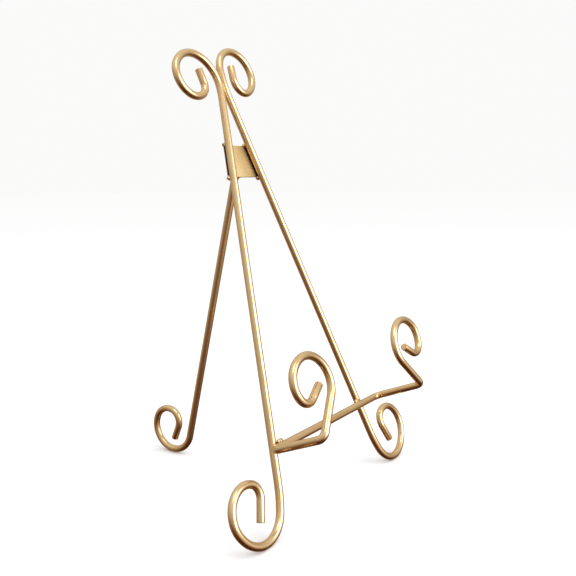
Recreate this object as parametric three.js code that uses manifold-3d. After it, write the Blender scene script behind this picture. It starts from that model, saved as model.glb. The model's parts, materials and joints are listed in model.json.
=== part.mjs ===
// Folding display stand for a photo album, bent from round wire.
// A front frame of two splayed rods leans back on a single rear leg, which folds on a
// hinge behind a small plate. A shelf wire on the front of the frame carries the album.
// Millimetres, +Z up, +X to the right of a person facing the front, +Y away from them.
// The origin lies on the ground, under the middle of the stand.
import * as THREE from "three";
import { mergeVertices } from "three/addons/utils/BufferGeometryUtils.js";
import Module from "manifold-3d";

// Wire
const wireDiameter = 5;
const wireRadius = wireDiameter / 2;
const wireSides = 12;
const bendStep = 15; // most turn between two rings of a bend, degrees
const seat = 0.3; // gap kept between pieces that touch

// Posture, degrees
const frameLean = 19.2; // front frame, back from the vertical
const rearLegSlope = 13.7; // rear leg, out from the vertical when open
const openAngle = frameLean + rearLegSlope;

// Front rods. Bends are [centreline radius, turn in degrees].
const rodSplay = 12.2;
const rodStraight = 252.5;
const rodTop = 275.4; // height of the straight's upper end along the frame
const restBottom = 70; // the flats that take an album's back start here, above the shelf
const footBends = [[64.7, 13.6], [20.4, 84], [23.5, 43.7], [15.9, 142.6], [7.8, 88.3]];
const footTail = 12.7;
const leftWaistRadius = 42;
const leftScroll = [[19.7, 54.6], [20.9, 90.2], [13.4, 160.7], [7.8, 63.5]];
const leftTail = 9.4;
const rightWaistRadius = 62;
const rightScroll = [[62, 5.8], [17.9, 110.1], [15, 135.3], [8.9, 115.3]];
const rightTail = 8.9;

// Shelf wire
const shelfHeight = 49.8; // crossbar centreline along the frame
const leftOverhang = 7.2; // arm centreline beyond each rod's: the shelf sits off centre
const rightOverhang = 18.8;
const shelfBendRadius = 5;
const armReach = 38.2;
const armRise = 2.9; // arms tilt up from square to the frame, degrees
const hookLean = 42.2; // uprights lean inwards from the frame's up line, degrees
const hookStraight = 27;
const hookBendRadius = 4.5;
const hookBends = [[15, 68.9], [19, 105.3], [12.9, 82.2], [8.5, 87.8]];
const hookTail = 11.5;

// Hinge plate, behind both rods
const plateThickness = 1.2;
const plateBottom = 221;
const plateHeight = 22;
const plateOverlap = 1.2; // edge beyond each rod's centreline

// Hinge bracket, a sheet channel on the back of the plate
const bracketSheet = 1;
const bracketBelow = 3.9; // base's reach below and above the pin, along the frame
const bracketAbove = 7.6;
const bracketBase = 0.8;
const earWall = 1.4; // round the pin hole

// Hinge pin and the rear leg's flattened eye
const pinHeight = 225.4; // along the frame
const pinDiameter = 2.4;
const pinHoleClearance = 0.2;
const pinHeadDiameter = 4.2;
const pinHeadHeight = 1;
const pinSides = 16;
const eyeThickness = 3;
const eyeSideClearance = 0.3; // between the eye and each ear
const eyeSideWall = 1.8; // beside the pin hole
const eyeHeelWall = 1; // above the pin hole
const eyeTaper = 5;

// Rear foot
const rearFootBends = [[17.7, 93], [16.5, 99.6], [13, 75.6], [9.1, 100.7]];
const rearFootTail = 10.6;

// Weld beads
const plateBeadRadius = 1.9;
const plateBeadLift = 0.5; // beyond the plate's upper or lower edge
const shelfBeadRadius = 1.9;
const shelfBeadHalfLength = 3.2;
const shelfBeadIn = 1.6; // inwards of the rod's side

const wasm = await Module();
wasm.setup();

const radians = THREE.MathUtils.degToRad;
const vec = (x, y, z = 0) => new THREE.Vector3(x, y, z);
const forward = vec(0, 0, 1);

// A bent wire's centreline, held as rings: the two ends of each straight and the steps of
// each bend, each a point and the wire's direction there.
class WirePath extends THREE.Curve {
  constructor(rings) {
    super();
    this.rings = rings;
  }

  ring(u) {
    return this.rings[Math.round(u * (this.rings.length - 1))];
  }

  getPoint(u, target = new THREE.Vector3()) {
    return target.copy(this.ring(u).point);
  }

  getPointAt(u, target) {
    return this.getPoint(u, target);
  }

  getTangentAt(u, target = new THREE.Vector3()) {
    return target.copy(this.ring(u).direction);
  }
}

// Lays wire from a start point in a start direction, run by run.
class WireLayer {
  constructor(point, direction) {
    this.rings = [];
    this.point = point.clone();
    this.direction = direction.clone().normalize();
    this.mark();
  }

  mark() {
    this.rings.push({ point: this.point.clone(), direction: this.direction.clone() });
  }

  straight(length) {
    this.point.addScaledVector(this.direction, length);
    this.mark();
    return this;
  }

  bend(radius, degrees, axis) {
    const steps = Math.ceil(Math.abs(degrees) / bendStep);
    const turn = radians(degrees) / steps;
    const centre = axis.clone().cross(this.direction).multiplyScalar(radius * Math.sign(degrees));
    centre.add(this.point);
    for (let i = 0; i < steps; i++) {
      this.point.sub(centre).applyAxisAngle(axis, turn).add(centre);
      this.direction.applyAxisAngle(axis, turn);
      this.mark();
    }
    return this;
  }

  bends(list, side) {
    for (const [radius, degrees] of list) this.bend(radius, side * degrees, forward);
    return this;
  }

  // Bends the shortest way round to a new direction.
  corner(radius, direction) {
    const axis = this.direction.clone().cross(direction).normalize();
    return this.bend(radius, THREE.MathUtils.radToDeg(this.direction.angleTo(direction)), axis);
  }
}

const reversed = (rings) =>
  rings.map(({ point, direction }) => ({ point, direction: direction.clone().negate() })).reverse();

const mirrored = (rings) =>
  rings.map(({ point, direction }) => ({
    point: vec(-point.x, point.y, point.z),
    direction: vec(-direction.x, direction.y, direction.z),
  }));

// A round wire along a path, with square-cut ends and a facet facing the path's plane.
function wireGeometry(rings, radius = wireRadius) {
  const section = new THREE.Shape();
  for (let i = 0; i < wireSides; i++) {
    const angle = ((i + 0.5) * 2 * Math.PI) / wireSides;
    const corner = [radius * Math.cos(angle), radius * Math.sin(angle)];
    if (i === 0) section.moveTo(...corner);
    else section.lineTo(...corner);
  }
  return new THREE.ExtrudeGeometry(section, {
    steps: rings.length - 1,
    extrudePath: new WirePath(rings),
  });
}

function toSolid(geometry) {
  const bare = geometry.clone();
  bare.deleteAttribute("normal");
  bare.deleteAttribute("uv");
  const merged = mergeVertices(bare, 1e-4);
  return new wasm.Manifold(
    new wasm.Mesh({
      numProp: 3,
      vertProperties: merged.attributes.position.array,
      triVerts: new Uint32Array(merged.index.array),
    }),
  );
}

function toGeometry(solid) {
  const { vertProperties, triVerts } = solid.getMesh();
  const geometry = new THREE.BufferGeometry();
  geometry.setAttribute("position", new THREE.BufferAttribute(vertProperties, 3));
  geometry.setIndex(new THREE.BufferAttribute(triVerts, 1));
  geometry.computeVertexNormals();
  return geometry;
}

const wireGold = new THREE.MeshStandardMaterial({
  color: 0xc8a468,
  metalness: 0.95,
  roughness: 0.32,
});
const plateGold = new THREE.MeshStandardMaterial({
  color: 0xc2a06a,
  metalness: 0.9,
  roughness: 0.42,
});
const hingeGold = new THREE.MeshStandardMaterial({
  color: 0xa8854f,
  metalness: 0.9,
  roughness: 0.45,
});
const beadGold = new THREE.MeshStandardMaterial({
  color: 0xb08d58,
  metalness: 0.9,
  roughness: 0.5,
});

function piece(name, geometry, material) {
  const mesh = new THREE.Mesh(geometry, material);
  mesh.name = name;
  return mesh;
}

// The frame group: local Y runs up the frame, local Z points out of its front.
const frame = new THREE.Group();
frame.rotation.x = radians(90 - frameLean);

// Front rods: each leaves the waist, where the two rods lie side by side, upwards into its
// top scroll and downwards into the splayed straight and its foot scroll.
const restLength = (rodTop - restBottom) / Math.cos(radians(rodSplay));
function rodRings(waistRadius, scroll, tail) {
  const waist = vec(
    -wireRadius - seat / 2,
    rodTop + waistRadius * Math.sin(radians(rodSplay)),
  );
  const upper = new WireLayer(waist, vec(0, 1)).bends(scroll, 1).straight(tail).rings;
  const lower = new WireLayer(waist, vec(0, -1))
    .bend(waistRadius, -rodSplay, forward)
    .straight(restLength)
    .straight(rodStraight - restLength)
    .bends(footBends, -1)
    .straight(footTail).rings;
  return [...reversed(upper), ...lower.slice(1)];
}
const leftRod = rodRings(leftWaistRadius, leftScroll, leftTail);
const rightRod = mirrored(rodRings(rightWaistRadius, rightScroll, rightTail));
frame.add(
  piece("front_rod_left", wireGeometry(leftRod), wireGold),
  piece("front_rod_right", wireGeometry(rightRod), wireGold),
);

// How far out a rod's centreline is from the middle, at a height along the frame.
function rodOut(side, height) {
  const waistRadius = side < 0 ? leftWaistRadius : rightWaistRadius;
  const waistOut = waistRadius * (1 - Math.cos(radians(rodSplay)));
  const drop = rodTop - height;
  return wireRadius + seat / 2 + waistOut + drop * Math.tan(radians(rodSplay));
}

// Shelf wire: one wire, laid from the middle of its crossbar out to the right hook, and
// the mirror of that to the left.
const shelfForward = wireDiameter + seat;
const leftArm = rodOut(-1, shelfHeight) + leftOverhang;
const rightArm = rodOut(1, shelfHeight) + rightOverhang;
const shelfShift = (rightArm - leftArm) / 2;
const cornerSetback = shelfBendRadius;
const armDirection = vec(0, Math.sin(radians(armRise)), Math.cos(radians(armRise)));
const hookDirection = vec(-Math.sin(radians(hookLean)), Math.cos(radians(hookLean)));
const hookSetback = hookBendRadius * Math.tan(armDirection.angleTo(hookDirection) / 2);
const shelfHalf = new WireLayer(vec(0, 0), vec(1, 0))
  .straight((leftArm + rightArm) / 2 - cornerSetback)
  .corner(shelfBendRadius, armDirection)
  .straight(armReach - cornerSetback - hookSetback)
  .corner(hookBendRadius, hookDirection)
  .straight(hookStraight - hookSetback)
  .bends(hookBends, -1)
  .straight(hookTail).rings;
const shelfRings = [...reversed(mirrored(shelfHalf)), ...shelfHalf.slice(1)];
const shelf = piece("shelf_wire", wireGeometry(shelfRings), wireGold);
shelf.position.set(shelfShift, shelfHeight, shelfForward);
frame.add(shelf);

// Hinge plate: a flat trapezoid whose slanting edges follow the rods.
const plateFront = -(wireRadius + seat);
const plateBack = plateFront - plateThickness;
const plateTop = plateBottom + plateHeight;
function plateShape(margin) {
  const corner = (side, height, beyond) =>
    new THREE.Vector2(side * (rodOut(side, height) + plateOverlap + margin), height + beyond);
  return new THREE.Shape([
    corner(-1, plateBottom, -margin),
    corner(1, plateBottom, -margin),
    corner(1, plateTop, margin),
    corner(-1, plateTop, margin),
  ]);
}
function plateGeometry(margin) {
  const depth = plateThickness + 2 * margin;
  const slab = new THREE.ExtrudeGeometry(plateShape(margin), { depth, bevelEnabled: false });
  return slab.translate(0, 0, plateBack - margin);
}
frame.add(piece("hinge_plate", plateGeometry(0), plateGold));

// Hinge bracket: a channel with its base on the plate and two rounded ears reaching back.
// The pin stands off far enough for the eye's square heel to meet the base when the leg
// is open.
const pinHoleRadius = pinDiameter / 2 + pinHoleClearance;
const bracketInside = eyeThickness + 2 * eyeSideClearance;
const earRadius = pinHoleRadius + earWall;
const eyeSide = pinHoleRadius + eyeSideWall;
const eyeHeel = pinHoleRadius + eyeHeelWall;
const pinStandoff =
  seat + eyeSide * Math.cos(radians(openAngle)) + eyeHeel * Math.sin(radians(openAngle));
const baseFront = plateBack - seat;
const baseBack = baseFront - bracketBase;
const pinAxis = baseBack - pinStandoff;
const earReach = baseFront - pinAxis + earRadius;
function channelGeometry() {
  const inner = bracketInside / 2;
  const outer = inner + bracketSheet;
  const channel = new THREE.Shape();
  channel.moveTo(-outer + bracketSheet, 0);
  channel.lineTo(outer - bracketSheet, 0);
  channel.absarc(outer - bracketSheet, bracketSheet, bracketSheet, -Math.PI / 2, 0, false);
  channel.lineTo(outer, earReach + 1);
  channel.lineTo(inner, earReach + 1);
  channel.lineTo(inner, bracketBase);
  channel.lineTo(-inner, bracketBase);
  channel.lineTo(-inner, earReach + 1);
  channel.lineTo(-outer, earReach + 1);
  channel.lineTo(-outer, bracketSheet);
  channel.absarc(
    -outer + bracketSheet, bracketSheet, bracketSheet, Math.PI, Math.PI * 1.5, false,
  );
  const depth = bracketBelow + bracketAbove;
  const run = new THREE.ExtrudeGeometry(channel, { depth, bevelEnabled: false, curveSegments: 3 });
  return run.rotateX(-Math.PI / 2).translate(0, -bracketBelow, 0);
}
function earOutlineGeometry() {
  const pinAt = baseFront - pinAxis;
  const outline = new THREE.Shape();
  outline.moveTo(-1, -bracketBelow);
  outline.lineTo(bracketSheet, -bracketBelow);
  outline.lineTo(pinAt - 1, -earRadius);
  outline.absarc(pinAt, 0, earRadius, -Math.PI / 2, Math.PI / 2, false);
  outline.lineTo(pinAt - 1, earRadius);
  outline.lineTo(bracketSheet, bracketAbove);
  outline.lineTo(-1, bracketAbove);
  const depth = bracketInside + 4 * bracketSheet;
  const block = new THREE.ExtrudeGeometry(outline, {
    depth,
    bevelEnabled: false,
    curveSegments: 8,
  });
  return block.translate(0, 0, -depth / 2).rotateY(Math.PI / 2);
}
const holeGeometry = new THREE.CylinderGeometry(pinHoleRadius, pinHoleRadius, 20, pinSides);
const pinHole = toSolid(holeGeometry.rotateZ(Math.PI / 2));
const bracketHole = pinHole.translate([0, 0, pinAxis - baseFront]);
const bracket = toSolid(channelGeometry())
  .intersect(toSolid(earOutlineGeometry()))
  .subtract(bracketHole);
const bracketMesh = piece("hinge_bracket", toGeometry(bracket), plateGold);
bracketMesh.position.set(0, pinHeight, baseFront);
frame.add(bracketMesh);

// Hinge pin: a shank between two low domed heads just outside the ears.
const shankHalf = bracketInside / 2 + bracketSheet + seat / 2;
function pinProfile() {
  const shank = pinDiameter / 2;
  const head = pinHeadDiameter / 2;
  const tip = shankHalf + pinHeadHeight;
  return [
    [0, -tip], [head * 0.6, -tip + 0.15], [head, -tip + 0.6], [head, -shankHalf],
    [shank, -shankHalf], [shank, shankHalf],
    [head, shankHalf], [head, tip - 0.6], [head * 0.6, tip - 0.15], [0, tip],
  ].map(([radius, along]) => new THREE.Vector2(radius, along));
}
const pin = piece("hinge_pin", new THREE.LatheGeometry(pinProfile(), pinSides), hingeGold);
pin.rotation.z = Math.PI / 2;
pin.position.set(0, pinHeight, pinAxis);
frame.add(pin);

// Rear leg: wire with a flattened, drilled eye at the top. Drawn in its own plane, X back
// and Y up, with the pin at 0. The round wire starts clear of the bracket's lower corner.
const shoulder = Math.hypot(bracketBelow, pinStandoff) + seat;
function eyeGeometry() {
  const tip = Math.sqrt(wireRadius ** 2 - (eyeThickness / 2) ** 2) * 0.85;
  const outline = new THREE.Shape();
  outline.moveTo(-tip, -shoulder - eyeTaper + 1);
  outline.lineTo(tip, -shoulder - eyeTaper + 1);
  outline.lineTo(eyeSide, -shoulder + 1);
  outline.lineTo(eyeSide, eyeHeel - 1);
  outline.absarc(eyeSide - 1, eyeHeel - 1, 1, 0, Math.PI / 2, false);
  outline.lineTo(-eyeSide, eyeHeel);
  outline.lineTo(-eyeSide, -shoulder + 1);
  const depth = eyeThickness;
  const blank = new THREE.ExtrudeGeometry(outline, { depth, bevelEnabled: false, curveSegments: 4 });
  return blank.translate(0, 0, -depth / 2);
}
function rearLegGeometry(straight) {
  const rings = new WireLayer(vec(0, -shoulder), vec(0, -1))
    .straight(straight - shoulder)
    .bends(rearFootBends, 1)
    .straight(rearFootTail).rings;
  const leg = toSolid(wireGeometry(rings)).add(toSolid(eyeGeometry()));
  return toGeometry(leg.subtract(pinHole.rotate([0, 90, 0])));
}
const rearPlane = new THREE.Group();
rearPlane.position.copy(pin.position);
rearPlane.rotation.set(radians(openAngle), Math.PI / 2, 0);
frame.add(rearPlane);

const bottomOf = (object) => new THREE.Box3().setFromObject(object, true).min.z;
const nominalStraight = 199.5;
const trial = piece("trial", rearLegGeometry(nominalStraight), wireGold);
rearPlane.add(trial);
frame.updateMatrixWorld(true);
const gapToGround = bottomOf(trial) - bottomOf(frame.getObjectByName("front_rod_left"));
rearPlane.remove(trial);
const rearStraight = nominalStraight + gapToGround / Math.cos(radians(rearLegSlope));
rearPlane.add(piece("rear_leg", rearLegGeometry(rearStraight), wireGold));

// Weld beads: low mounds of filler, hollowed to clear the pieces they join.
const rodKeepout = [leftRod, rightRod].map((rings) =>
  toSolid(wireGeometry(rings, wireRadius + seat)),
);
const plateKeepout = toSolid(plateGeometry(seat));
const shelfKeepout = toSolid(wireGeometry(shelfRings, wireRadius + seat)).translate([
  shelfShift, shelfHeight, shelfForward,
]);
function bead(name, centre, scale, keepouts) {
  const mound = new THREE.SphereGeometry(1, 12, 8).scale(...scale).translate(...centre);
  const cut = keepouts.reduce((solid, keepout) => solid.subtract(keepout), toSolid(mound));
  frame.add(piece(name, toGeometry(cut), beadGold));
}
for (const [sideName, side] of [["left", -1], ["right", 1]]) {
  const ends = [["lower", plateBottom - plateBeadLift], ["upper", plateTop + plateBeadLift]];
  for (const [endName, height] of ends) {
    bead(
      `plate_bead_${endName}_${sideName}`,
      [side * rodOut(side, height), height, plateFront - plateThickness / 2],
      [plateBeadRadius, plateBeadRadius, plateBeadRadius],
      [...rodKeepout, plateKeepout],
    );
  }
  const beadHeight = shelfHeight + wireRadius;
  bead(
    `shelf_bead_${sideName}`,
    [side * (rodOut(side, beadHeight) - wireRadius - shelfBeadIn), beadHeight, wireRadius + seat],
    [shelfBeadHalfLength, shelfBeadRadius, shelfBeadRadius],
    [...rodKeepout, shelfKeepout],
  );
}

// Stand the frame on its feet, with the origin under the middle of the whole stand.
const stand = new THREE.Group();
stand.add(frame);
stand.updateMatrixWorld(true);
const bounds = new THREE.Box3().setFromObject(stand, true);
const middle = bounds.getCenter(new THREE.Vector3());
frame.position.set(-middle.x, -middle.y, -bounds.min.z);

export default stand;
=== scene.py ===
import json
from math import copysign, cos, hypot, pi, radians, sin, tan

import bmesh
import bpy
from mathutils import Matrix, Vector, noise


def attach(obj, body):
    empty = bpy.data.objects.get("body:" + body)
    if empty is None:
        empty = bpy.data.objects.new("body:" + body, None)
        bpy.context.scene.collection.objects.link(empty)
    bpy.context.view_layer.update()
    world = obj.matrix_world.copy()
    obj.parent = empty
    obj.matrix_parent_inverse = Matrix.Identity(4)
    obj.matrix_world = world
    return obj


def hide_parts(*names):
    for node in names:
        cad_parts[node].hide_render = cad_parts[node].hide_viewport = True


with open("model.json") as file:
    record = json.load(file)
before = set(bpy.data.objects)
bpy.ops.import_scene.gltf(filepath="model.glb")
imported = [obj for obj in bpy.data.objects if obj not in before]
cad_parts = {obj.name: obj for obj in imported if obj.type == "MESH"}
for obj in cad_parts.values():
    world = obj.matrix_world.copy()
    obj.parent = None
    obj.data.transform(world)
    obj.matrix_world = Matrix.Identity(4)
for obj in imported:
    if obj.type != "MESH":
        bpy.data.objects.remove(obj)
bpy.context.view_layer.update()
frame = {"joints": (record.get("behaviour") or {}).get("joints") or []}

# ---------------------------------------------------------------------------------------
# Camera: about level with the hinge and looking a little down, close to the stand and to
# the left of its front, so that the near foot scroll looms and the rods almost line up.
# ---------------------------------------------------------------------------------------
camera_place = (-0.39455, -0.2995, 0.20817)
camera_heading = radians(-55.65)
camera_dip = radians(8.67)
camera_roll = radians(-0.305)

camera_data = bpy.data.cameras.new("camera")
camera_data.sensor_width = 36
camera_data.lens = 45.9
camera_data.clip_start = 0.02
camera = bpy.data.objects.new("camera", camera_data)
camera.matrix_world = (
    Matrix.Translation(camera_place)
    @ Matrix.Rotation(camera_heading, 4, "Z")
    @ Matrix.Rotation(pi / 2 - camera_dip, 4, "X")
    @ Matrix.Rotation(camera_roll, 4, "Z")
)
bpy.context.scene.collection.objects.link(camera)
bpy.context.scene.camera = camera

# ---------------------------------------------------------------------------------------
# Front rods: two lengths of 5 mm steel wire, drawn smooth, cut square, bent cold round
# pegs into a scroll at each end, then plated pale gold. They lie side by side at the
# waist and splay down to their foot scrolls. They are laid here as they are bent.
# ---------------------------------------------------------------------------------------
wire_radius = 0.0025
wire_facets = 40
bend_step = radians(4)
cut_edge = 0.00025
seat = 0.0003  # left clear between pieces that bear on each other
side_names = {-1: "left", 1: "right"}

frame_lean = radians(19.2)
across = Vector((1, 0, 0))
up_frame = Vector((0, sin(frame_lean), cos(frame_lean)))
out_front = Vector((0, -cos(frame_lean), sin(frame_lean)))
hinge_axis = Vector(frame["joints"][0]["pos_m"])
pin_height = 0.2254
pin_depth = 0.0093904
frame_foot = hinge_axis - up_frame * pin_height + out_front * pin_depth


def on_frame(sideways, height, forward):
    return frame_foot + across * sideways + up_frame * height + out_front * forward


def verts_in(geometry):
    return [part for part in geometry if isinstance(part, bmesh.types.BMVert)]


def edges_in(geometry):
    return [part for part in geometry if isinstance(part, bmesh.types.BMEdge)]


def round_off(mesh, edges, size, segments=3):
    """Bevels edges round, and returns the new faces."""
    return bmesh.ops.bevel(
        mesh, geom=edges, offset=size, segments=segments, profile=0.5,
        affect="EDGES", material=-1,
    )["faces"]


class Wire:
    """A round wire, laid both ways from one ring by straights and bends. Each point
    keeps its place round the wire and along it in the attribute "lie"."""

    def __init__(self, start, heading, sideways):
        self.mesh = bmesh.new()
        self.lie = self.mesh.verts.layers.float_vector.new("lie")
        square = heading.cross(sideways).normalized()
        facing = Matrix((sideways, square, heading)).transposed().to_4x4()
        circle = bmesh.ops.create_circle(
            self.mesh, cap_ends=False, segments=wire_facets, radius=wire_radius,
            matrix=Matrix.Translation(start) @ facing,
        )["verts"]
        for vert in circle:
            offset = (vert.co - start) / wire_radius
            vert[self.lie] = (offset.dot(sideways), offset.dot(square), 0)
        self.first = self.ring = circle + self.mesh.edges[:]
        self.start = start.copy()
        self.first_heading = heading.copy()
        self.at = start.copy()
        self.heading = heading.copy()
        self.laid = 0
        self.way = 1
        self.ends = []

    def grown(self, geometry, length):
        self.laid += length * self.way
        verts = verts_in(geometry)
        for vert in verts:
            vert[self.lie] = (vert[self.lie].x, vert[self.lie].y, self.laid)
        edges = dict.fromkeys(edge for vert in verts for edge in vert.link_edges)
        self.ring = verts + [
            edge for edge in edges if edge.verts[0] in verts and edge.verts[1] in verts
        ]

    def straight(self, length):
        made = bmesh.ops.extrude_edge_only(self.mesh, edges=edges_in(self.ring))["geom"]
        verts = verts_in(made)
        bmesh.ops.translate(self.mesh, verts=verts, vec=self.heading * length)
        self.at += self.heading * length
        self.grown(verts, length)
        return self

    def bend(self, radius, turn, axis):
        steps = max(1, round(abs(turn) / bend_step))
        towards = axis.cross(self.heading).normalized()
        centre = self.at + towards * (radius if turn > 0 else -radius)
        part = Matrix.Rotation(turn / steps, 3, axis)
        for _ in range(steps):
            made = bmesh.ops.spin(
                self.mesh, geom=self.ring, cent=centre, axis=axis, angle=turn / steps,
                steps=1, use_merge=False, use_duplicate=False,
            )["geom_last"]
            self.grown(made, radius * abs(turn) / steps)
            self.at = centre + part @ (self.at - centre)
            self.heading = part @ self.heading
        return self

    def bends(self, listed, axis, side):
        for radius, degrees in listed:
            self.bend(radius, side * radians(degrees), axis)
        return self

    def corner(self, radius, heading):
        return self.bend(
            radius, self.heading.angle(heading), self.heading.cross(heading).normalized()
        )

    def cut(self):
        self.ends.append(edges_in(self.ring))
        return self

    def back_to_start(self):
        self.ring = self.first
        self.at = self.start.copy()
        self.heading = -self.first_heading
        self.laid = 0
        self.way = -1
        return self

    def finished(self, name, body, node):
        for rim in self.ends:
            bmesh.ops.edgeloop_fill(self.mesh, edges=rim)
        bmesh.ops.recalc_face_normals(self.mesh, faces=self.mesh.faces[:])
        round_off(self.mesh, [edge for rim in self.ends for edge in rim], cut_edge)
        return piece(name, self.mesh, body, node)


def piece(name, mesh, body, node, flats=()):
    for face in mesh.faces:
        face.smooth = len(face.verts) <= 4 and face not in flats
    data = bpy.data.meshes.new(name)
    mesh.to_mesh(data)
    mesh.free()
    data.set_sharp_from_angle(angle=radians(35))
    made = bpy.data.objects.new(name, data)
    bpy.context.scene.collection.objects.link(made)
    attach(made, body)
    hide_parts(node)
    return made


class Term:
    """A node's output, which can be added, subtracted and multiplied."""

    def __init__(self, shading, socket):
        self.shading = shading
        self.socket = socket

    def maths(self, operation, first, second):
        return self.shading.node(
            "ShaderNodeMath", {"operation": operation}, {0: first, 1: second}
        )

    def __add__(self, other):
        return self.maths("ADD", self, other)

    __radd__ = __add__

    def __sub__(self, other):
        return self.maths("SUBTRACT", self, other)

    def __rsub__(self, other):
        return self.maths("SUBTRACT", other, self)

    def __mul__(self, other):
        return self.maths("MULTIPLY", self, other)

    __rmul__ = __mul__


class Shading:
    """A node tree, and the one way of adding a node to it."""

    def __init__(self, owner):
        owner.use_nodes = True
        self.tree = owner.node_tree
        self.tree.nodes.clear()

    def node(self, kind, settings={}, sockets={}, output=0):
        made = self.tree.nodes.new(kind)
        for name, value in settings.items():
            if name == "stops":
                ramp = made.color_ramp.elements
                while len(ramp) < len(value):
                    ramp.new(1)
                for stop, (position, colour) in zip(ramp, value):
                    stop.position = position
                    stop.color = (*colour, 1)
            else:
                setattr(made, name, value)
        for name, value in sockets.items():
            if isinstance(value, Term):
                self.tree.links.new(value.socket, made.inputs[name])
            else:
                made.inputs[name].default_value = value
        return Term(self, made.outputs[output]) if made.outputs else None

    def speckle(self, where, per_metre, detail):
        return self.node(
            "ShaderNodeTexNoise", {"noise_dimensions": "3D"},
            {"Vector": where, "Scale": per_metre, "Detail": detail, "Roughness": 0.55},
        )

    def between(self, value, low, high):
        """Runs smoothly from 0 at low to 1 at high, which may be the smaller."""
        return self.node(
            "ShaderNodeMapRange", {"interpolation_type": "SMOOTHSTEP"},
            {"Value": value, "From Min": low, "From Max": high},
        )

    def blend(self, amount, first, second):
        return self.node(
            "ShaderNodeMix", {"data_type": "RGBA"}, {0: amount, 6: first, 7: second},
            output=2,
        )

    def vectors(self, operation, *values, output="Vector"):
        return self.node(
            "ShaderNodeVectorMath", {"operation": operation}, dict(enumerate(values)),
            output,
        )

    def near(self, where, places):
        """1 within a quarter of the heat's reach of a place, and 0 beyond its reach."""
        reach = 0.007
        heat = 0
        for place in places:
            gap = self.vectors("DISTANCE", where, tuple(place), output="Value")
            heat = self.between(gap, reach, reach * 0.25) + heat
        return heat

    def relief(self, strength, height):
        return self.node(
            "ShaderNodeBump", {},
            {"Strength": strength, "Distance": 0.0002, "Height": height},
        )

    def metal(self, colour, roughness, relief, metallic=1.0):
        surface = self.node(
            "ShaderNodeBsdfPrincipled", {}, {
                "Base Color": colour,
                "Metallic": metallic,
                "Roughness": roughness,
                "Normal": relief,
            },
        )
        self.node("ShaderNodeOutputMaterial", {}, {"Surface": surface})


def gilt_wire(name, welds):
    """Pale gold plating over drawn wire: faint lengthwise die lines, soft clouding, a
    little orange peel, and a browner heat stain round each weld."""
    material = bpy.data.materials.new(name)
    shading = Shading(material)
    where = shading.node("ShaderNodeTexCoord", output="Object")
    lie = shading.node(
        "ShaderNodeAttribute", {"attribute_name": "lie"}, output="Vector"
    )
    lines = shading.speckle(shading.vectors("MULTIPLY", lie, (9, 9, 12)), 1, 2)
    clouds = shading.between(shading.speckle(where, 55, 3), 0.35, 0.7)
    peel = shading.speckle(where, 600, 2)
    specks = shading.between(shading.speckle(where, 1500, 1), 0.7, 0.85)
    heat = shading.near(where, welds)
    gold = shading.blend(clouds, (0.87, 0.635, 0.355, 1), (0.82, 0.58, 0.31, 1))
    stained = shading.blend(heat * 0.3, gold, (0.42, 0.23, 0.09, 1))
    shading.metal(
        shading.blend(specks * 0.25, stained, (0.55, 0.36, 0.17, 1)),
        0.15 + clouds * 0.05 + lines * 0.08 + heat * 0.1 + specks * 0.1,
        shading.relief(0.1, peel * 0.5 + lines * 0.5 - specks * 0.2),
    )
    return material


rod_splay = radians(12.2)
rod_straight = 0.2525
rod_top = 0.2754
rod_waist = {-1: 0.042, 1: 0.062}
rod_scroll = {
    -1: [(0.0197, 54.6), (0.0209, 90.2), (0.0134, 160.7), (0.0078, 63.5)],
    1: [(0.062, 5.8), (0.0179, 110.1), (0.015, 135.3), (0.0089, 115.3)],
}
rod_tail = {-1: 0.0094, 1: 0.0089}
foot_scroll = [
    (0.0647, 13.6), (0.0204, 84), (0.0235, 43.7), (0.0159, 142.6), (0.0078, 88.3),
]
foot_tail = 0.0127


def rod_out(side, height):
    waist_out = rod_waist[side] * (1 - cos(rod_splay))
    return wire_radius + seat / 2 + waist_out + (rod_top - height) * tan(rod_splay)


plate_bottom = 0.221
plate_height = 0.022
plate_top = plate_bottom + plate_height
plate_weld_out = 0.0005  # beyond the plate's edge
plate_weld_depth = -0.0034
weld_heights = {
    "lower": plate_bottom - plate_weld_out,
    "upper": plate_top + plate_weld_out,
}
plate_welds = {
    (end, side): on_frame(side * rod_out(side, height), height, plate_weld_depth)
    for end, height in weld_heights.items()
    for side in side_names
}

shelf_height = 0.0498
shelf_top = shelf_height + wire_radius
shelf_weld_in = wire_radius + 0.0016
shelf_welds = {
    side: on_frame(
        side * (rod_out(side, shelf_top) - shelf_weld_in), shelf_top, wire_radius + seat
    )
    for side in side_names
}

for side, word in side_names.items():
    waist = rod_top + rod_waist[side] * sin(rod_splay)
    rod = Wire(on_frame(side * (wire_radius + seat / 2), waist, 0), up_frame, across)
    rod.bends(rod_scroll[side], out_front, -side).straight(rod_tail[side]).cut()
    rod.back_to_start()
    rod.bend(rod_waist[side], side * rod_splay, out_front).straight(rod_straight)
    rod.bends(foot_scroll, out_front, side).straight(foot_tail).cut()
    made = rod.finished(f"{word}_rod", "front_frame", f"front_rod_{word}")
    welds = [plate_welds["lower", side], plate_welds["upper", side], shelf_welds[side]]
    made.data.materials.append(gilt_wire(f"gilt_{word}_rod", welds))

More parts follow.
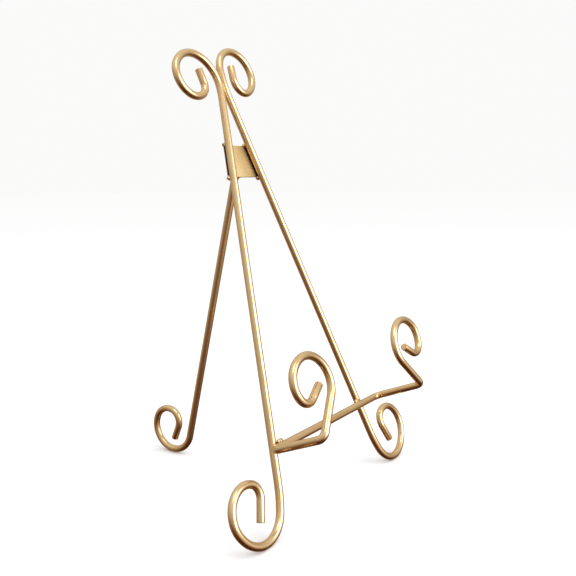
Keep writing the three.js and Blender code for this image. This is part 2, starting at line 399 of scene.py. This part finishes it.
# ---------------------------------------------------------------------------------------
# Shelf wire: one length of the same wire. Its crossbar lies across the front of both
# rods; each end turns forwards into an arm, then up into a leaning upright that curls
# outwards in a scroll. The two lower corners are bent tight.
# ---------------------------------------------------------------------------------------
shelf_forward = 2 * wire_radius + seat
left_overhang = 0.0072
right_overhang = 0.0188
left_arm = rod_out(-1, shelf_height) + left_overhang
right_arm = rod_out(1, shelf_height) + right_overhang
shelf_bend = 0.005
arm_reach = 0.0382
arm_rise = radians(2.9)
hook_lean = radians(42.2)
hook_straight = 0.027
hook_bend = 0.0045
hook_scroll = [(0.015, 68.9), (0.019, 105.3), (0.0129, 82.2), (0.0085, 87.8)]
hook_tail = 0.0115

shelf_middle = on_frame((right_arm - left_arm) / 2, shelf_height, shelf_forward)
half_crossbar = (left_arm + right_arm) / 2
arm_heading = up_frame * sin(arm_rise) + out_front * cos(arm_rise)
shelf = Wire(shelf_middle, across, up_frame)
for side in (1, -1):
    hook_heading = up_frame * cos(hook_lean) - across * side * sin(hook_lean)
    setback = hook_bend * tan(arm_heading.angle(hook_heading) / 2)
    shelf.straight(half_crossbar - shelf_bend).corner(shelf_bend, arm_heading)
    shelf.straight(arm_reach - shelf_bend - setback).corner(hook_bend, hook_heading)
    shelf.straight(hook_straight - setback)
    shelf.bends(hook_scroll, out_front, -side).straight(hook_tail).cut()
    if side > 0:
        shelf.back_to_start()
made = shelf.finished("shelf", "front_frame", "shelf_wire")
made.data.materials.append(gilt_wire("gilt_shelf", shelf_welds.values()))

# ---------------------------------------------------------------------------------------
# Hinge plate: a trapezoid sheared from 1.2 mm sheet steel, its slanting edges following
# the rods, welded across the backs of both rods and plated with them.
# ---------------------------------------------------------------------------------------
plate_front = -(wire_radius + seat)
plate_thickness = 0.0012
plate_overlap = 0.0012
sheared_edge = 0.0002
# The painted crevice shade on the plate starts this far from a rod's middle line and is
# full at the second distance.
crevice_shade_reach = 0.00405  # from the rod's middle line
crevice_shade_full = 0.0037


def gilt_sheet(name, welds, wires=()):
    """Pale gold plating over rolled sheet: upright rolling bands, fine grain, and a brown
    heat stain at each weld. Painted shade: a near-black, less metallic strip on the sheet
    under and beside each wire that lies close over it, standing in for the shade in that
    crevice."""
    material = bpy.data.materials.new(name)
    shading = Shading(material)
    where = shading.node("ShaderNodeTexCoord", output="Object")
    rolled = shading.node(
        "ShaderNodeMapping", {"vector_type": "POINT"},
        {"Vector": where, "Scale": (1, 0.05, 0.05)},
    )
    bands = shading.between(shading.speckle(rolled, 260, 2), 0.35, 0.65)
    grain = shading.speckle(where, 1400, 3)
    clouds = shading.speckle(where, 120, 3)
    heat = shading.near(where, welds)
    gold = shading.blend(bands, (0.76, 0.58, 0.295, 1), (0.67, 0.495, 0.24, 1))
    stained = shading.blend(heat * 0.4, gold, (0.38, 0.21, 0.09, 1))
    painted_crevice_shade = 0
    # Painted shade: under and beside each wire the sheet turns near black, less metallic
    # and rougher, standing in for the shade in the crevice between wire and sheet.
    for foot, head in wires:
        along = tuple((head - foot).normalized())
        from_foot = shading.vectors("SUBTRACT", where, tuple(foot))
        beside = shading.vectors("CROSS_PRODUCT", from_foot, along)
        clear = shading.vectors("LENGTH", beside, output="Value")
        ragged = clear + grain * 0.0003
        painted_crevice_shade = shading.between(ragged, crevice_shade_reach, crevice_shade_full) + painted_crevice_shade
    shading.metal(
        shading.blend(painted_crevice_shade, stained, (0.018, 0.010, 0.005, 1)),
        0.44 + bands * 0.06 + clouds * 0.08 + heat * 0.1 + painted_crevice_shade * 0.2,
        shading.relief(0.1, grain * 0.1 + bands * 0.3),
        metallic=1 - 0.8 * painted_crevice_shade,
    )
    return material


def thicken(mesh, faces, by):
    far = bmesh.ops.extrude_face_region(mesh, geom=faces, use_keep_orig=True)["geom"]
    bmesh.ops.translate(mesh, verts=verts_in(far), vec=by)


plate = bmesh.new()
corners = [
    plate.verts.new(
        on_frame(side * (rod_out(side, height) + plate_overlap), height, plate_front)
    )
    for side, height in (
        (-1, plate_bottom), (1, plate_bottom), (1, plate_top), (-1, plate_top),
    )
]
thicken(plate, [plate.faces.new(corners)], -out_front * plate_thickness)
bmesh.ops.recalc_face_normals(plate, faces=plate.faces[:])
rounded = round_off(plate, plate.edges[:], sheared_edge)
sheet_faces = set(plate.faces) - set(rounded)
made = piece("plate", plate, "front_frame", "hinge_plate", flats=sheet_faces)
# The rods' middle lines over the plate, along which the plate's material paints crevice
# shade.
rod_lines = [
    [
        on_frame(side * rod_out(side, height), height, 0)
        for height in (plate_bottom, plate_top)
    ]
    for side in side_names
]
made.data.materials.append(gilt_sheet("gilt_plate", plate_welds.values(), rod_lines))

# ---------------------------------------------------------------------------------------
# Hinge bracket: a short channel folded from sheet steel about 1 mm thick and spot-welded
# to the back of the plate. Its two round-ended ears are drilled for the pin.
# ---------------------------------------------------------------------------------------
bracket_sheet = 0.001
bracket_below = 0.0039
bracket_above = 0.0076
base_sheet = 0.0008
eye_thickness = 0.003
bracket_inside = eye_thickness + 2 * seat
hole_radius = 0.0014
ear_wall = 0.0014
ear_radius = hole_radius + ear_wall
ear_flare = 1.6
folded_edge = 0.00015
base_front = plate_front - plate_thickness - seat
ear_root = base_front + pin_depth - base_sheet * 0.3  # just inside the base


def drill(mesh, plane, rim_radius, segments):
    """The ring of a pin's hole, and the ring that becomes the edge round it."""
    return [
        bmesh.ops.create_circle(
            mesh, cap_ends=False, segments=segments, radius=radius, matrix=plane
        )["verts"]
        for radius in (hole_radius, rim_radius)
    ]


def fill_round(mesh, hole, rim):
    loops = [
        edge for edge in mesh.edges
        if not edge.link_faces and (edge.verts[0] in hole or edge.verts[0] in rim)
    ]
    return bmesh.ops.bridge_loops(mesh, edges=loops)["faces"]


bracket = bmesh.new()
base_width = bracket_inside + 2 * bracket_sheet
base_middle = on_frame(
    0, pin_height + (bracket_above - bracket_below) / 2, base_front - base_sheet / 2
)
lean_turn = Matrix((across, up_frame, out_front)).transposed().to_4x4()
bmesh.ops.create_cube(
    bracket, size=1,
    matrix=Matrix.Translation(base_middle) @ lean_turn
    @ Matrix.Diagonal((base_width, bracket_below + bracket_above, base_sheet, 1)),
)
rounded = round_off(bracket, bracket.edges[:], folded_edge, segments=2)
base_faces = set(bracket.faces) - set(rounded)
for side in side_names:
    centre = on_frame(side * bracket_inside / 2, pin_height, -pin_depth)
    ear_plane = Matrix.Translation(centre) @ lean_turn @ Matrix.Rotation(pi / 2, 4, "Y")
    hole, rim = drill(bracket, ear_plane, ear_radius, 48)
    for vert in rim:
        forwards = (vert.co - centre).dot(out_front)
        upwards = (vert.co - centre).dot(up_frame)
        # The half of the rim towards the plate fans out to the whole length of the base.
        if forwards > 0.0001:
            share = forwards / ear_radius
            reach = bracket_above if upwards > 0 else bracket_below
            spread = ear_radius + (reach - ear_radius) * share * ear_flare
            fanned = upwards / ear_radius * spread
            fanned = max(-bracket_below, min(bracket_above, fanned))
            vert.co += up_frame * (fanned - upwards)
            vert.co += out_front * (share * ear_root - forwards)
    thicken(bracket, fill_round(bracket, hole, rim), across * side * bracket_sheet)
bmesh.ops.recalc_face_normals(bracket, faces=bracket.faces[:])
made = piece("bracket", bracket, "front_frame", "hinge_bracket", flats=base_faces)
made.data.materials.append(gilt_sheet("gilt_bracket", [base_middle]))

# ---------------------------------------------------------------------------------------
# Hinge pin: a 2.4 mm rivet through both ears and the leg's eye, with a low domed head at
# one end and the other end hammered over.
# ---------------------------------------------------------------------------------------
pin_radius = 0.0012
head_radius = 0.0021
head_height = 0.001
shank_half = bracket_inside / 2 + bracket_sheet + seat / 2


def gilt_fitting(name, tone, roughness, lumps):
    """Thin gold plating over filler or a hammered rivet, worn in places and pitted."""
    material = bpy.data.materials.new(name)
    shading = Shading(material)
    where = shading.node("ShaderNodeTexCoord", output="Object")
    coarse = shading.speckle(where, 500, 3)
    pits = shading.between(shading.speckle(where, 1600, 2), 0.62, 0.8)
    worn = shading.between(coarse, 0.4, 0.68)
    thin = tuple(part * 0.85 for part in tone[:3]) + (1,)
    gold = shading.blend(worn, tone, thin)
    shading.metal(
        shading.blend(pits * 0.25, gold, (0.25, 0.14, 0.06, 1)),
        roughness + worn * 0.1 + pits * 0.15,
        shading.relief(lumps, coarse * 0.7 - pits * 0.6),
    )
    return material


pin = bmesh.new()
profile = [
    (0, -shank_half - head_height),
    (head_radius * 0.45, -shank_half - head_height * 0.94),
    (head_radius * 0.8, -shank_half - head_height * 0.7),
    (head_radius, -shank_half - head_height * 0.3),
    (head_radius, -shank_half),
    (pin_radius, -shank_half),
    (pin_radius, shank_half),
    (head_radius * 0.92, shank_half),
    (head_radius * 0.95, shank_half + head_height * 0.35),
    (head_radius * 0.7, shank_half + head_height * 0.6),
    (0, shank_half + head_height * 0.62),
]
chain = [
    pin.verts.new(hinge_axis + across * along + up_frame * out) for out, along in profile
]
links = [pin.edges.new(pair) for pair in zip(chain, chain[1:])]
bmesh.ops.spin(
    pin, geom=chain + links, cent=hinge_axis, axis=across, angle=2 * pi, steps=40,
    use_merge=True, use_duplicate=False,
)
bmesh.ops.remove_doubles(pin, verts=pin.verts[:], dist=0.000002)
bmesh.ops.recalc_face_normals(pin, faces=pin.faces[:])
made = piece("pin", pin, "front_frame", "hinge_pin")
made.data.materials.append(gilt_fitting("gilt_pin", (0.66, 0.44, 0.21, 1), 0.34, 0.3))

# ---------------------------------------------------------------------------------------
# Rear leg: one length of wire, hammered flat at the top into an eye that swings on the
# pin between the ears, with a square heel that stops it open, and a scroll for a foot.
# ---------------------------------------------------------------------------------------
leg_slope = radians(13.7)
open_angle = frame_lean + leg_slope
leg_straight = 0.1994958
rear_scroll = [(0.0177, 93), (0.0165, 99.6), (0.013, 75.6), (0.0091, 100.7)]
rear_tail = 0.0106
eye_wall = 0.0018
heel_wall = 0.001
eye_edge = 0.0003
eye_side = hole_radius + eye_wall
eye_heel = hole_radius + heel_wall
pin_standoff = seat + eye_side * cos(open_angle) + eye_heel * sin(open_angle)
shoulder = hypot(bracket_below, pin_standoff) + seat
leg_down = -up_frame * cos(open_angle) - out_front * sin(open_angle)
leg_back = up_frame * sin(open_angle) - out_front * cos(open_angle)

neck = 0.0042
neck_steps = 8
neck_squareness = 1.6
neck_narrowing = 0.0003
neck_inset = 0.00006  # keeps the neck's end inside the eye
first_length = 0.0006  # a close ring, which keeps the neck's shading off the straight

leg = Wire(hinge_axis + leg_down * shoulder, leg_down, across)
leg.straight(first_length).straight(leg_straight - shoulder - first_length)
leg.bends(rear_scroll, across, 1).straight(rear_tail).cut()
leg.back_to_start()
for step in range(1, neck_steps + 1):
    leg.straight(neck / neck_steps)
    flat = (1 - cos(pi * step / neck_steps)) / 2
    power = 2 / (2 + neck_squareness * flat)
    half_thick = wire_radius + flat * (eye_thickness / 2 - neck_inset - wire_radius)
    half_wide = wire_radius - flat * neck_narrowing
    for vert in verts_in(leg.ring):
        sideways = copysign(abs(vert[leg.lie].x) ** power, vert[leg.lie].x)
        forwards = copysign(abs(vert[leg.lie].y) ** power, vert[leg.lie].y)
        vert.co = leg.at + across * half_thick * sideways - leg_back * half_wide * forwards
leg.cut()

heel_squareness = {"front": 1, "back": 0.62}
eye_taper = 0.28
eye_low = shoulder + 0.0005
centre = hinge_axis - across * eye_thickness / 2
eye_turn = Matrix((leg_back, -leg_down, across)).transposed().to_4x4()
eye_from = len(leg.mesh.verts)
hole, rim = drill(leg.mesh, Matrix.Translation(centre) @ eye_turn, eye_side, 64)
for vert in rim:
    backwards = (vert.co - centre).dot(leg_back)
    upwards = -(vert.co - centre).dot(leg_down)
    # Above the pin the rim is squared into the heel. Below, it draws down to the neck.
    if upwards > 0:
        squareness = heel_squareness["front" if backwards < 0 else "back"]
        to_square = eye_side / max(abs(backwards), abs(upwards)) - 1
        stretch = 1 + squareness * to_square
        backwards = max(-eye_side, min(eye_side, backwards * stretch))
        upwards = min(eye_heel, upwards * stretch)
    else:
        drop = -upwards / eye_side
        backwards *= 1 - eye_taper * drop
        upwards = -eye_low * drop
    vert.co = centre + leg_back * backwards - leg_down * upwards
thicken(leg.mesh, fill_round(leg.mesh, hole, rim), across * eye_thickness)
leg.mesh.verts.ensure_lookup_table()
eye = leg.mesh.verts[eye_from:]
bmesh.ops.recalc_face_normals(leg.mesh, faces=leg.mesh.faces[:])
arrises = dict.fromkeys(
    edge for vert in eye for edge in vert.link_edges
    if len(edge.link_faces) == 2 and edge.calc_face_angle() > radians(60)
)
round_off(leg.mesh, list(arrises), eye_edge)
made = leg.finished("leg", "rear_leg", "rear_leg")
made.data.materials.append(gilt_wire("gilt_leg", [hinge_axis]))

# ---------------------------------------------------------------------------------------
# Weld beads: lumps of filler run in behind each rod at the plate's upper and lower edge,
# and in the corner between the crossbar and each rod. They are left as they set.
# ---------------------------------------------------------------------------------------
plate_bead_size = (0.0019, 0.0016, 0.0018)
shelf_bead_size = (0.0032, 0.0016, 0.0016)


def weld_bead(name, node, middle, size, seed):
    bead = bmesh.new()
    bmesh.ops.create_icosphere(bead, subdivisions=5, radius=1)
    for vert in bead.verts:
        ripple = sin(vert.co.x * 9 + seed) * 0.03
        lump = noise.noise(vert.co * 1.4 + Vector((seed, 0, 0))) * 0.2
        fine = noise.noise(vert.co * 4 + Vector((0, seed, 0))) * 0.025
        vert.co *= 1 + ripple + lump + fine
    bmesh.ops.transform(
        bead, verts=bead.verts[:],
        matrix=Matrix.Translation(middle) @ lean_turn @ Matrix.Diagonal((*size, 1)),
    )
    made = piece(name, bead, "front_frame", node)
    made.data.materials.append(bead_gilt)


bead_gilt = gilt_fitting("gilt_weld", (0.90, 0.72, 0.46, 1), 0.2, 0.12)
for number, ((end, side), middle) in enumerate(plate_welds.items()):
    place = f"{end}_{side_names[side]}"
    weld_bead(
        f"plate_weld_{place}", f"plate_bead_{place}", middle, plate_bead_size,
        number * 3.7,
    )
for number, (side, middle) in enumerate(shelf_welds.items()):
    weld_bead(
        f"shelf_weld_{side_names[side]}", f"shelf_bead_{side_names[side]}", middle,
        shelf_bead_size, 20 + number * 5.3,
    )

# ---------------------------------------------------------------------------------------
# Floor and light: a pale floor in a plain studio, with a broad soft box to the right of
# the camera and a fainter one overhead. The gold mirrors a room that is pale high up and
# brown low down, with a glow on the broad box's side and another low at the back.
# ---------------------------------------------------------------------------------------
floor_mesh = bmesh.new()
bmesh.ops.create_circle(floor_mesh, cap_ends=True, segments=96, radius=9)
floor_data = bpy.data.meshes.new("floor")
floor_mesh.to_mesh(floor_data)
floor_mesh.free()
floor = bpy.data.objects.new("floor", floor_data)
bpy.context.scene.collection.objects.link(floor)
floor.visible_glossy = False
floor_paint = bpy.data.materials.new("floor_paint")
shading = Shading(floor_paint)
surface = shading.node(
    "ShaderNodeBsdfPrincipled", {},
    {"Base Color": (0.95, 0.95, 0.945, 1), "Roughness": 0.9, "Specular IOR Level": 0.0},
)
shading.node("ShaderNodeOutputMaterial", {}, {"Surface": surface})
floor_data.materials.append(floor_paint)

camera_right = Vector((cos(camera_heading), sin(camera_heading), 0))
camera_back = Vector((sin(camera_heading), -cos(camera_heading), 0))
stand_middle = Vector((0, 0, 0.14))
watts_per_square_metre = 4


def from_camera(turn, rise):
    """The direction so many degrees right of the camera and above level."""
    level = camera_back * cos(radians(turn)) + camera_right * sin(radians(turn))
    return level * cos(radians(rise)) + Vector((0, 0, sin(radians(rise))))


def soft_box(name, direction, distance, width, height, glow):
    data = bpy.data.lights.new(name, "AREA")
    data.shape = "RECTANGLE"
    data.size = width
    data.size_y = height
    data.energy = glow * watts_per_square_metre * width * height
    data.color = (0.95, 1, 1.12)
    box = bpy.data.objects.new(name, data)
    box.location = stand_middle + direction * distance
    box.rotation_euler = direction.to_track_quat("Z", "Y").to_euler()
    box.visible_camera = False
    bpy.context.scene.collection.objects.link(box)


soft_box("broad_box", from_camera(67, 17), 1.4, 1.2, 1.15, 2.0)
soft_box("top_box", from_camera(20, 72), 1.6, 0.9, 0.9, 1.2)

world = bpy.data.worlds.new("studio")
bpy.context.scene.world = world
world.cycles.sampling_method = "NONE"
shading = Shading(world)
outwards = shading.node("ShaderNodeTexCoord", output="Generated")
skyward = shading.node("ShaderNodeSeparateXYZ", {}, {"Vector": outwards}, output="Z")
room = shading.node(
    "ShaderNodeValToRGB",
    {
        "stops": [
            (0.10, (0.07, 0.024, 0.007)),
            (0.23, (0.15, 0.078, 0.044)),
            (0.34, (0.19, 0.125, 0.082)),
            (0.50, (0.41, 0.355, 0.31)),
            (0.68, (0.58, 0.545, 0.49)),
            (0.85, (0.80, 0.79, 0.74)),
        ],
    },
    {"Fac": skyward * 0.5 + 0.5},
)
to_box = tuple(from_camera(66, 0))
box_side = shading.vectors("DOT_PRODUCT", outwards, to_box, output="Value")
spill = shading.between(box_side, 0.6, 0.97) * shading.between(skyward, -0.95, -0.1)
room = shading.vectors("MULTIPLY_ADD", spill, (0.55, 0.51, 0.46), room)
to_wall = tuple(from_camera(-150, 0))
wall_side = shading.vectors("DOT_PRODUCT", outwards, to_wall, output="Value")
glow = shading.between(wall_side, 0.1, 0.75) * shading.between(skyward, 0.15, -0.4)
room = shading.vectors("MULTIPLY_ADD", glow, (0.28, 0.23, 0.18), room)


def backdrop(colour, strength=1.0):
    return shading.node("ShaderNodeBackground", {}, {"Color": colour, "Strength": strength})


reflected = backdrop(room)
even = backdrop((1, 1, 1, 1), 1.02)
seen = backdrop((0.96, 0.96, 0.955, 1))
on_floor = shading.node("ShaderNodeLightPath", output="Is Diffuse Ray")
looked_at = shading.node("ShaderNodeLightPath", output="Is Camera Ray")
lit = shading.node("ShaderNodeMixShader", {}, {0: on_floor, 1: reflected, 2: even})
whole = shading.node("ShaderNodeMixShader", {}, {0: looked_at, 1: lit, 2: seen})
shading.node("ShaderNodeOutputWorld", {}, {"Surface": whole})
bpy.context.scene.view_settings.view_transform = "Standard"
